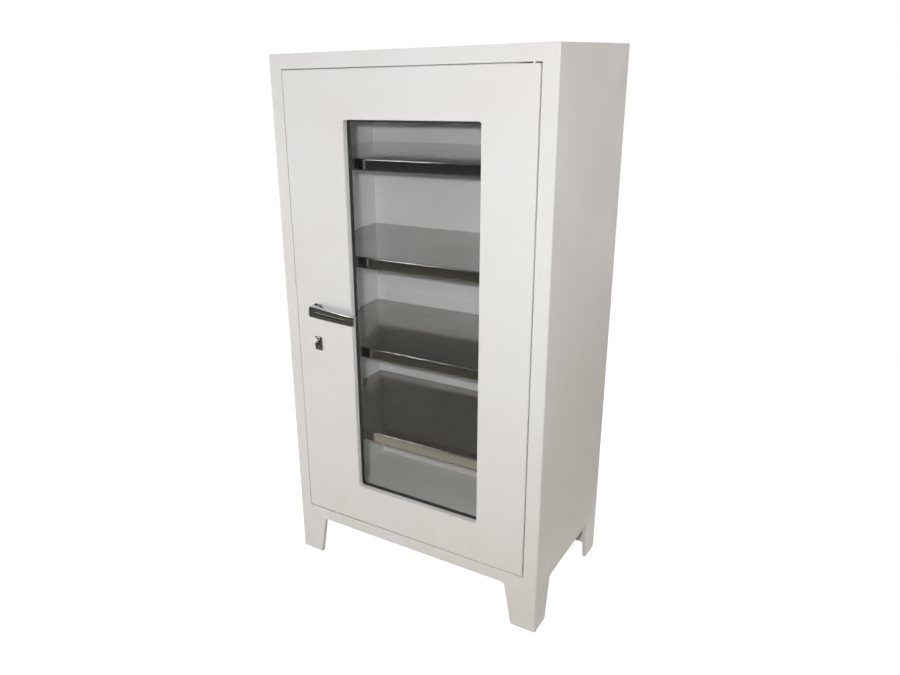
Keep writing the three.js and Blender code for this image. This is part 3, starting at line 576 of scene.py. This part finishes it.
def turned(profile, centre, steps):
    """Spin (radius, y) points, a closed ring of them or a row from axis to axis, about Y."""
    bm = bmesh.new()
    verts = [bm.verts.new((centre[0] + radius, y, centre[1])) for radius, y in profile]
    edges = [bm.edges.new(pair) for pair in zip(verts, verts[1:])]
    if profile[0][0] > 0:
        edges.append(bm.edges.new((verts[-1], verts[0])))
    bmesh.ops.spin(
        bm, geom=verts + edges, cent=(centre[0], 0, centre[1]), axis=(0, 1, 0),
        angle=math.tau, steps=steps, use_merge=True)
    bmesh.ops.remove_doubles(bm, verts=bm.verts, dist=MERGE_DISTANCE)
    bmesh.ops.recalc_face_normals(bm, faces=bm.faces)
    return bm


def add_shell(bm, other):
    """Move another bmesh's shell into this one."""
    mesh = bpy.data.meshes.new("shell")
    other.to_mesh(mesh)
    other.free()
    bm.from_mesh(mesh)
    bpy.data.meshes.remove(mesh)


def only(kind, items):
    """The items of one kind, such as the corners among what an extrusion made."""
    return [item for item in items if isinstance(item, kind)]


def quarter_turn(steps):
    """Even angles from nought to a right angle."""
    return [math.pi / 2 * step / steps for step in range(steps + 1)]


def quarter(start, end, steps):
    """Points of a quarter ellipse from start, level at its end."""
    for angle in quarter_turn(steps):
        yield (
            end[0] + (start[0] - end[0]) * math.cos(angle),
            start[1] + (end[1] - start[1]) * math.sin(angle),
        )


class CabinetOperator:
    """What the cabinet's operators share"""

    bl_options = {"REGISTER", "UNDO"}

    @property
    def sizes(self):
        return bpy.context.scene.cabinet_sizes


class CABINET_OT_case(CabinetOperator, bpy.types.Operator):
    """Folded sides, rails, top, back and floor of the case"""

    bl_idname = "cabinet.case"
    bl_label = "Case"

    def execute(self, context):
        sizes = self.sizes
        low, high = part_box("top_panel")
        outside = max(abs(low.x), abs(high.x))
        near = 2 * sizes.sheet

        def away_from_door(edge):
            """True for the case's own corners and for folds behind the front face."""
            middle = (edge.verts[0].co + edge.verts[1].co) / 2
            return outside - abs(middle.x) < near or middle.y > low.y + near

        for side in SIDES:
            bm = merged_copy(f"side_{side}")
            round_folds(bm, sizes.sheet, sizes.case_fold, sizes.fold_steps, away_from_door)
            add_piece(f"folded_side_{side}", bm, "white_paint", f"side_{side}")
        for rail in ("top_rail", "bottom_rail"):
            bm = merged_copy(rail)
            round_folds(bm, sizes.sheet, sizes.door_fold, sizes.fold_steps)
            add_piece(f"folded_{rail}", bm, "white_paint", rail)
        bm = merged_copy("top_panel")
        upright = [
            edge for edge in bm.edges
            if abs(edge.verts[0].co.z - edge.verts[1].co.z) > MERGE_DISTANCE
        ]
        round_edges(bm, upright, sizes.case_fold, sizes.fold_steps)
        rim = [
            edge for edge in bm.edges
            if min(vert.co.z for vert in edge.verts) > high.z - MERGE_DISTANCE
        ]
        round_edges(bm, rim, sizes.top_edge, sizes.fold_steps)
        add_piece("rounded_top_panel", bm, "white_paint", "top_panel")
        for node in ("back_panel", "floor_panel"):
            finish_node(node, "white_paint", sizes.small_edge)
        return {"FINISHED"}


class CABINET_OT_legs(CabinetOperator, bpy.types.Operator):
    """Four tapered legs with folded inner edges"""

    bl_idname = "cabinet.legs"
    bl_label = "Legs"

    def execute(self, context):
        sizes = self.sizes
        for depth in DEPTHS:
            for side in SIDES:
                node = f"leg_{depth}_{side}"
                bm = merged_copy(node)
                round_folds(bm, sizes.leg_sheet, sizes.case_fold, sizes.fold_steps)
                add_piece(f"folded_{node}", bm, "white_paint", node)
        return {"FINISHED"}


class CABINET_OT_door(CabinetOperator, bpy.types.Operator):
    """Door skin with its window, inner pan, glass, seal and beads"""

    bl_idname = "cabinet.door"
    bl_label = "Door"

    def execute(self, context):
        sizes = self.sizes
        bm = merged_copy("door_skin")
        round_folds(bm, sizes.sheet, sizes.door_fold, sizes.fold_steps)
        add_piece("folded_door_skin", bm, "white_paint", "door_skin")
        finish_node("door_inner_pan", "white_paint", sizes.small_edge)
        for place in ("top", "bottom", "left", "right"):
            finish_node(f"glazing_bead_{place}", "polished_steel", sizes.small_edge)
        finish_node("glass_pane", "clear_glass", sizes.small_edge)
        finish_node("glass_gasket", "black_rubber")
        for place in ("upper", "lower"):
            finish_node(f"door_bumper_{place}", "black_rubber", sizes.small_edge)
        return {"FINISHED"}


class CABINET_OT_handle(CabinetOperator, bpy.types.Operator):
    """Lever with its turned-in end and neck, and the domed rose behind it"""

    bl_idname = "cabinet.handle"
    bl_label = "Handle"

    def stations(self, spindle, face):
        """Sections along the lever: (x, y, turn, depth, height) at each section's middle."""
        sizes = self.sizes
        thick, tall, tip_tall = sizes.lever_thick, sizes.lever_tall, sizes.lever_tip_tall
        hub, hub_deep, end_round = sizes.lever_hub, sizes.lever_hub_deep, sizes.lever_round
        bend_x = spindle.x + sizes.lever_long - thick - sizes.lever_bend

        # Rounded hub end, hub, its slope down to the bar, and the straight bar
        rows = []
        for turn in quarter_turn(END_STEPS):
            inset = end_round * (1 - math.sin(turn))
            x = spindle.x - hub + end_round * (1 - math.cos(turn))
            rows.append((x, hub_deep - inset, tall - 2 * inset))
        for share in (0.0, 0.5, 1.0):
            rows.append((spindle.x + hub * share, hub_deep, tall))
        for step in range(1, HUB_STEPS + 1):
            share = step / HUB_STEPS
            slope = share * share * (3 - 2 * share)
            rows.append((spindle.x + hub * (1 + share), hub_deep + (thick - hub_deep) * slope, tall))
        bar_x = rows[-1][0]
        for step in range(1, BAR_STEPS + 1):
            rows.append((bar_x + (bend_x - bar_x) * step / BAR_STEPS, thick, tall))

        # Bowed front and taper towards the tip
        stations = []
        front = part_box("handle_lever")[0].y
        for x, depth, height in rows:
            share = max(0.0, (x - spindle.x) / sizes.lever_long)
            bowed = front + sizes.lever_crown * (2 * share - 1) ** 2
            taper = 1 + (tip_tall / tall - 1) * share
            stations.append((x, bowed + depth / 2, 0.0, depth, height * taper))

        # Bend towards the door and the rounded tip
        radius = sizes.lever_bend + thick / 2
        centre_y = stations[-1][1] + radius
        for turn in quarter_turn(BEND_STEPS)[1:]:
            x = bend_x + radius * math.sin(turn)
            y = centre_y - radius * math.cos(turn)
            stations.append((x, y, turn, thick, tip_tall))
        tip_x = stations[-1][0]
        tip_y = face - sizes.lever_tip_gap
        for turn in reversed(quarter_turn(END_STEPS)):
            inset = end_round * (1 - math.sin(turn))
            y = tip_y - TIP_ROUND * end_round * (1 - math.cos(turn))
            stations.append((tip_x, y, math.pi / 2, thick - TIP_THIN * inset, tip_tall - inset))
        return stations

    def section(self, depth, height):
        """Flat outline of the lever's section, and how far each corner sinks into the groove."""
        bm = bmesh.new()
        bmesh.ops.create_grid(bm, x_segments=1, y_segments=1, size=0.5)
        bmesh.ops.scale(bm, vec=(depth, height, 1), verts=bm.verts)
        bmesh.ops.bevel(
            bm, geom=bm.verts[:], offset=self.sizes.lever_edge, offset_type="OFFSET",
            segments=CORNER_STEPS, profile=0.5, affect="VERTICES", clamp_overlap=True, material=-1)
        front = min(bm.edges, key=lambda edge: sum(vert.co.x for vert in edge.verts))
        bmesh.ops.subdivide_edges(bm, edges=[front], cuts=GROOVE_CUTS)
        row = [vert for vert in bm.verts if vert.co.x < MERGE_DISTANCE - depth / 2]
        row.sort(key=lambda vert: vert.co.y)
        sink = dict.fromkeys(bm.verts, 0.0)
        for place, vert in enumerate(row[1:-1]):
            across = 2 * place / (GROOVE_CUTS - 1) - 1
            vert.co.y = self.sizes.groove_half * across
            sink[vert] = math.cos(math.pi / 2 * across)
        return bm, [(vert.co.copy(), sink[vert]) for vert in bm.verts]

    def bar(self, spindle, face):
        """Grooved section extruded from station to station."""
        sizes = self.sizes
        stations = self.stations(spindle, face)
        depth, height = stations[0][3:]
        bm, corners = self.section(depth, height)

        def settle(ring, station):
            """Put a ring of corners in its place along the lever."""
            x, y, turn, wide, tall = station
            run = x - spindle.x
            fade = min(run - sizes.groove_start, sizes.groove_end - run) / sizes.lever_hub
            groove = sizes.lever_groove * max(0.0, min(1.0, fade))
            middle = Vector((x, y, spindle.z + sizes.lever_rise))
            turned_by = Matrix.Rotation(turn, 4, "Z")
            for vert, (flat, sink) in zip(ring, corners):
                across = flat.x + math.copysign((wide - depth) / 2, flat.x) + groove * sink
                up = flat.y
                if abs(up) > sizes.groove_half:
                    up += math.copysign((tall - height) / 2, up)
                vert.co = middle + turned_by @ Vector((0, across, up))

        end = bm.faces[:][0]
        ring = bm.verts[:]
        settle(ring, stations[0])
        for station in stations[1:]:
            made = bmesh.ops.extrude_face_region(bm, geom=[end])["geom"]
            end = only(bmesh.types.BMFace, made)[0]
            fresh = only(bmesh.types.BMVert, made)
            ring = [min(fresh, key=lambda vert: (vert.co - old.co).length) for old in ring]
            settle(ring, station)
        bmesh.ops.remove_doubles(bm, verts=bm.verts, dist=MERGE_DISTANCE)
        bmesh.ops.recalc_face_normals(bm, faces=bm.faces)
        return bm

    def neck(self, spindle):
        """Round neck from the lever's hub to the rose, flared where it meets the hub."""
        sizes = self.sizes
        low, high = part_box("handle_lever")
        hub_back = low.y + sizes.lever_hub_deep
        root = hub_back - sizes.neck_sink
        profile = [(sizes.neck_bore, root), (sizes.neck_flare, root)]
        profile += quarter(
            (sizes.neck_flare, hub_back), (sizes.neck, hub_back + sizes.flare_long), FLARE_STEPS)
        profile += [(sizes.neck, high.y), (sizes.neck_bore, high.y)]
        return turned(profile, (spindle.x, spindle.z), sizes.round_steps)

    def rose(self, spindle):
        """Domed ring against the door, rounded into its bore."""
        sizes = self.sizes
        low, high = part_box("handle_rose")
        radius, bore, edge = (high.x - low.x) / 2, sizes.rose_bore, sizes.rose_edge
        lip = bore + sizes.rose_lip
        profile = [(bore, high.y), (radius - edge, high.y), (radius, high.y - edge)]
        profile += quarter((radius, high.y - sizes.rose_rim), (lip + sizes.rose_flat, low.y), DOME_STEPS)
        profile += quarter((lip, low.y), (bore, low.y + sizes.rose_lip_deep), LIP_STEPS)
        return turned(profile, (spindle.x, spindle.z), sizes.round_steps)

    def execute(self, context):
        spindle = Vector(JOINTS["handle_turn"]["pos_m"])
        bm = self.bar(spindle, face=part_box("door_skin")[0].y)
        add_shell(bm, self.neck(spindle))
        droop = Matrix.Rotation(self.sizes.lever_droop, 4, "Y")
        about = Matrix.Translation(spindle)
        bmesh.ops.transform(bm, matrix=about @ droop @ about.inverted(), verts=bm.verts)
        add_piece("lever_handle", bm, "chrome_plate", "handle_lever")
        add_piece("domed_rose", self.rose(spindle), "chrome_plate", "handle_rose")
        return {"FINISHED"}


class CABINET_OT_lock(CabinetOperator, bpy.types.Operator):
    """Key plate, its two screws and the keyhole cover pushed aside"""

    bl_idname = "cabinet.lock"
    bl_label = "Lock Plate"

    def softened(self, node):
        """A node's solid with its front edges rounded."""
        bm = merged_copy(node)
        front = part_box(node)[0].y
        edges = [
            edge for edge in bm.edges
            if max(vert.co.y for vert in edge.verts) < front + MERGE_DISTANCE
            and edge.calc_face_angle(0.0) > FOLD_ANGLE
        ]
        round_edges(bm, edges, self.sizes.small_edge, EDGE_STEPS)
        return bm

    def screw(self, node):
        """Domed head with a cross cut, on a plain shank."""
        sizes = self.sizes
        low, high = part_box(node)
        centre = ((low.x + high.x) / 2, (low.z + high.z) / 2)
        radius, thick = (high.x - low.x) / 2, sizes.screw_head
        profile = [(0.0, high.y), (sizes.screw_shank, high.y), (sizes.screw_shank, low.y + thick)]
        profile.append((radius, low.y + thick))
        profile += [(out * radius, low.y + down * thick) for out, down in SCREW_DOME]
        bm = turned(profile, centre, SMALL_STEPS)
        half, reach = sizes.screw_slot / 2, SLOT_REACH * radius
        for offset in (-reach, -half, half, reach):
            for normal in ((1, 0, 0), (0, 0, 1)):
                point = (centre[0] + offset, 0, centre[1] + offset)
                geom = bm.verts[:] + bm.edges[:] + bm.faces[:]
                bmesh.ops.bisect_plane(
                    bm, geom=geom, dist=MERGE_DISTANCE, plane_co=point, plane_no=normal)
        cross = []
        for face in bm.faces:
            middle = face.calc_center_median()
            x, z = abs(middle.x - centre[0]), abs(middle.z - centre[1])
            if face.normal.y < -FRONT_FACING and min(x, z) < half and max(x, z) < reach:
                cross.append(face)
        made = bmesh.ops.extrude_face_region(bm, geom=cross)["geom"]
        sunk = only(bmesh.types.BMVert, made)
        bmesh.ops.translate(bm, vec=(0, SLOT_DEPTH * thick, 0), verts=sunk)
        return bm

    def boss(self):
        """Low dome on the round end of the keyhole cover."""
        sizes = self.sizes
        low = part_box("keyhole_cover")[0]
        seat = low.y + sizes.boss_sink
        profile = [(0.0, seat)]
        profile += quarter((sizes.boss, seat), (0.0, low.y - sizes.boss_rise), BOSS_STEPS)
        return turned(profile, (low.x + sizes.cover_round, low.z + sizes.cover_round), SMALL_STEPS)

    def execute(self, context):
        add_piece("key_plate", self.softened("lock_escutcheon"), "chrome_plate", "lock_escutcheon")
        for place in ("upper", "lower"):
            node = f"escutcheon_screw_{place}"
            add_piece(f"plate_screw_{place}", self.screw(node), "chrome_plate", node)
        bm = self.softened("keyhole_cover")
        add_shell(bm, self.boss())
        add_piece("drop_cover", bm, "white_paint", "keyhole_cover")
        return {"FINISHED"}


class CABINET_OT_shelves(CabinetOperator, bpy.types.Operator):
    """Polished shelves with folded lips, their runners and the slotted uprights"""

    bl_idname = "cabinet.shelves"
    bl_label = "Shelves"

    def execute(self, context):
        sizes = self.sizes
        for name in SHELF_NAMES:
            bm = merged_copy(name)
            round_folds(bm, sizes.sheet, sizes.shelf_fold, sizes.fold_steps)
            add_piece(f"folded_{name}", bm, "polished_steel", name)
            number = name.split("_")[1]
            for side in SIDES:
                finish_node(f"runner_{number}_{side}", "polished_steel", sizes.small_edge)
        for depth in DEPTHS:
            for side in SIDES:
                finish_node(f"upright_{depth}_{side}", "white_paint", sizes.small_edge)
        return {"FINISHED"}


class CABINET_OT_works(CabinetOperator, bpy.types.Operator):
    """Pivots, spindle, crank, latch rods, guides and lock inside the door"""

    bl_idname = "cabinet.works"
    bl_label = "Inner Works"

    def execute(self, context):
        edge = self.sizes.small_edge
        for place in ("upper", "lower"):
            for node in ("hinge_bracket", "hinge_pin", "latch_rod", "rod_guide"):
                finish_node(f"{node}_{place}", "zinc_plate", edge)
            finish_node(f"hinge_bush_{place}", "brass", edge)
        for node in ("handle_spindle", "spindle_bearing", "latch_cam", "lock_case"):
            finish_node(node, "zinc_plate", edge)
        # The bolt's dark brass stands in for the shade inside the keyhole
        finish_node("lock_bolt", "brass", edge)
        return {"FINISHED"}


class CABINET_OT_stage(CabinetOperator, bpy.types.Operator):
    """White floor and surroundings, lamps and camera"""

    bl_idname = "cabinet.stage"
    bl_label = "Stage"

    def seen_directly(self, nodes):
        """1 for rays that show the surroundings: from the camera, in metal and through glass.

        Light that has left a dull surface counts as lighting, also once it is through the pane.
        """
        path = nodes.node("ShaderNodeLightPath")
        shown = path.outputs["Is Camera Ray"]
        for name in ("Is Glossy Ray", "Is Transmission Ray"):
            shown = nodes.maths("MAXIMUM", shown, path.outputs[name])
        straight = nodes.maths("LESS_THAN", path.outputs["Diffuse Depth"], 0.5)
        return nodes.maths("MULTIPLY", shown, straight)

    def surroundings(self, scene, stage):
        """Even light all round that is seen as plain white."""
        scene.world = bpy.data.worlds.new("white_surroundings")
        nodes = NodeTree(scene.world)
        light = nodes.node(
            "ShaderNodeBackground", {"Color": (*stage.sky_colour, 1), "Strength": stage.sky})
        white = nodes.node("ShaderNodeBackground", {"Color": (1, 1, 1, 1), "Strength": 1.0})
        shown = nodes.either(
            self.seen_directly(nodes), light.outputs["Background"], white.outputs["Background"])
        nodes.node("ShaderNodeOutputWorld", {"Surface": shown})

    def floor_finish(self, stage):
        """Pale floor that fills up to white where it is lit and keeps a soft shadow."""
        material = bpy.data.materials.new("pale_floor")
        nodes = NodeTree(material)
        pale = nodes.node("ShaderNodeBsdfDiffuse", {"Color": (*stage.floor_colour, 1)})
        shade = nodes.node("ShaderNodeBsdfDiffuse", {"Color": (*stage.floor_shade, 1)})
        glow = nodes.node("ShaderNodeEmission", {"Strength": stage.floor_glow})
        near = nodes.node(
            "ShaderNodeAddShader", {0: shade.outputs["BSDF"], 1: glow.outputs["Emission"]})
        white = nodes.node("ShaderNodeEmission")
        reach = nodes.node("ShaderNodeVectorMath", {0: nodes.place()}, operation="LENGTH")
        fade = nodes.node("ShaderNodeMapRange", {
            "Value": reach.outputs["Value"],
            "From Min": stage.shadow_near,
            "From Max": stage.shadow_far,
        })
        seen = nodes.either(fade.outputs["Result"], near.outputs["Shader"], white.outputs["Emission"])
        floor = nodes.either(self.seen_directly(nodes), pale.outputs["BSDF"], seen)
        nodes.node("ShaderNodeOutputMaterial", {"Surface": floor})
        return material

    def plane(self, name, size, matrix, material):
        """Flat sheet of the stage, put in place by a matrix."""
        bm = bmesh.new()
        bmesh.ops.create_grid(bm, x_segments=1, y_segments=1, size=0.5)
        bmesh.ops.scale(bm, vec=(*size, 1), verts=bm.verts)
        bmesh.ops.transform(bm, matrix=matrix, verts=bm.verts)
        mesh = bpy.data.meshes.new(name)
        bm.to_mesh(mesh)
        bm.free()
        mesh.materials.append(material)
        plane = bpy.data.objects.new(name, mesh)
        bpy.context.scene.collection.objects.link(plane)
        return plane

    def room_card(self, name, size, matrix, axis, colours, reach):
        """Card that only metal and glass see, shaded along one axis like a dim room."""
        material = bpy.data.materials.new(name)
        nodes = NodeTree(material)
        parts = nodes.node("ShaderNodeSeparateXYZ", {"Vector": nodes.place()})
        along = nodes.node("ShaderNodeMapRange", {
            "Value": parts.outputs[axis], "From Min": reach[0], "From Max": reach[1]})
        tone = nodes.ramp(along.outputs["Result"], *colours, start=0.0, end=1.0)
        glow = nodes.node("ShaderNodeEmission", {"Color": tone})
        nodes.node("ShaderNodeOutputMaterial", {"Surface": glow.outputs["Emission"]})
        card = self.plane(name, size, matrix, material)
        card.visible_camera = False
        card.visible_diffuse = False
        card.visible_shadow = False
        return card

    def cards(self, stage):
        """Dim room and floor before the door, and a paler floor beside the cabinet."""
        upright = Matrix.Rotation(math.pi / 2, 4, "X")
        self.room_card(
            "dim_room", size=(8.0, 3.19), matrix=Matrix.Translation((-0.4, -2.3, 1.6)) @ upright,
            axis="Z", colours=(stage.room_low, stage.room_high), reach=(0.0, 1.0))
        self.room_card(
            "dim_floor", size=(8.0, 1.94), matrix=Matrix.Translation((-0.4, -1.32, CARD_LIFT)),
            axis="Y", colours=(stage.room_low, stage.floor_lit), reach=(-1.2, -0.6))
        beside = self.room_card(
            "dim_side", size=(3.0, 3.0), matrix=Matrix.Translation((1.92, 1.15, CARD_LIFT)),
            axis="X", colours=(stage.beside_near, stage.beside_far), reach=(0.4, 2.0))
        beside.visible_transmission = False

    def lamp(self, name, place, size, watts, colour=(1.0, 1.0, 1.0), mirrored=False):
        """Square lamp aimed at the cabinet's middle, seen in metal and glass only if it is mirrored."""
        data = bpy.data.lights.new(name, "AREA")
        data.shape = "SQUARE"
        data.size = size
        data.energy = watts
        data.color = colour
        lamp = bpy.data.objects.new(name, data)
        bpy.context.scene.collection.objects.link(lamp)
        aim = (CAD_BOX[0] + CAD_BOX[1]) / 2 - Vector(place)
        lamp.location = place
        lamp.rotation_mode = "QUATERNION"
        lamp.rotation_quaternion = aim.to_track_quat("-Z", "Y")
        lamp.visible_camera = False
        lamp.visible_glossy = mirrored
        lamp.visible_transmission = mirrored

    def lamps(self, stage):
        """Flash beside the camera, and softer lamps before, beside, above and behind the cabinet."""
        soft = stage.soft_size
        self.lamp("flash", stage.key_place, stage.key_size, stage.key_power, mirrored=True)
        self.lamp("front_lamp", stage.front_place, soft, stage.front_power)
        self.lamp("side_lamp", stage.side_place, soft, stage.side_power, stage.side_colour)
        self.lamp(
            "ceiling_lamp", stage.ceiling_place, stage.ceiling_size, stage.ceiling_power, mirrored=True)
        self.lamp("back_lamp", stage.back_place, soft, stage.back_power)

    def camera(self, scene, stage):
        """Camera at the eye, turned round the cabinet, looking down and leaning."""
        turn, rise, lean = stage.azimuth, stage.elevation, stage.roll
        back = Vector((
            math.sin(turn) * math.cos(rise), -math.cos(turn) * math.cos(rise), math.sin(rise)))
        right = Vector((math.cos(turn), math.sin(turn), 0))
        up = back.cross(right)
        leaning = math.cos(lean) * right + math.sin(lean) * up
        rising = math.cos(lean) * up - math.sin(lean) * right
        data = bpy.data.cameras.new("camera")
        data.sensor_width = SENSOR_WIDTH
        data.lens = stage.lens
        data.shift_x, data.shift_y = stage.shift
        camera = bpy.data.objects.new("camera", data)
        scene.collection.objects.link(camera)
        facing = Matrix((leaning, rising, back)).transposed()
        camera.matrix_world = Matrix.Translation(stage.eye) @ facing.to_4x4()
        scene.camera = camera

    def execute(self, context):
        scene = context.scene
        stage = scene.cabinet_stage
        scene.view_settings.view_transform = "Standard"
        self.surroundings(scene, stage)
        self.plane("floor", (FLOOR_SIDE, FLOOR_SIDE), Matrix.Identity(4), self.floor_finish(stage))
        self.cards(stage)
        self.lamps(stage)
        self.camera(scene, stage)
        if scene.camera is None:
            raise RuntimeError("the stage has no camera")
        return {"FINISHED"}


STEPS = (
    CABINET_OT_case,
    CABINET_OT_legs,
    CABINET_OT_door,
    CABINET_OT_handle,
    CABINET_OT_lock,
    CABINET_OT_shelves,
    CABINET_OT_works,
    CABINET_OT_stage,
)


class CABINET_PT_panel(bpy.types.Panel):
    """Lists the cabinet's steps in the sidebar"""

    bl_label = "Medical Cabinet"
    bl_idname = "CABINET_PT_panel"
    bl_space_type = "VIEW_3D"
    bl_region_type = "UI"
    bl_category = "Cabinet"

    def draw(self, context):
        for step in STEPS:
            self.layout.operator(step.bl_idname)


SETTINGS = {
    "cabinet_sizes": CabinetSizes,
    "cabinet_finishes": CabinetFinishes,
    "cabinet_stage": CabinetStage,
}
CLASSES = (*SETTINGS.values(), *STEPS, CABINET_PT_panel)


def register():
    for made in CLASSES:
        bpy.utils.register_class(made)
    for name, group in SETTINGS.items():
        setattr(bpy.types.Scene, name, PointerProperty(type=group))


def unregister():
    for name in SETTINGS:
        delattr(bpy.types.Scene, name)
    for made in reversed(CLASSES):
        bpy.utils.unregister_class(made)


def main():
    register()
    bpy.ops.cabinet.case()
    bpy.ops.cabinet.legs()
    bpy.ops.cabinet.door()
    bpy.ops.cabinet.handle()
    bpy.ops.cabinet.lock()
    bpy.ops.cabinet.shelves()
    bpy.ops.cabinet.works()
    bpy.ops.cabinet.stage()


if __name__ == "__main__":
    main()
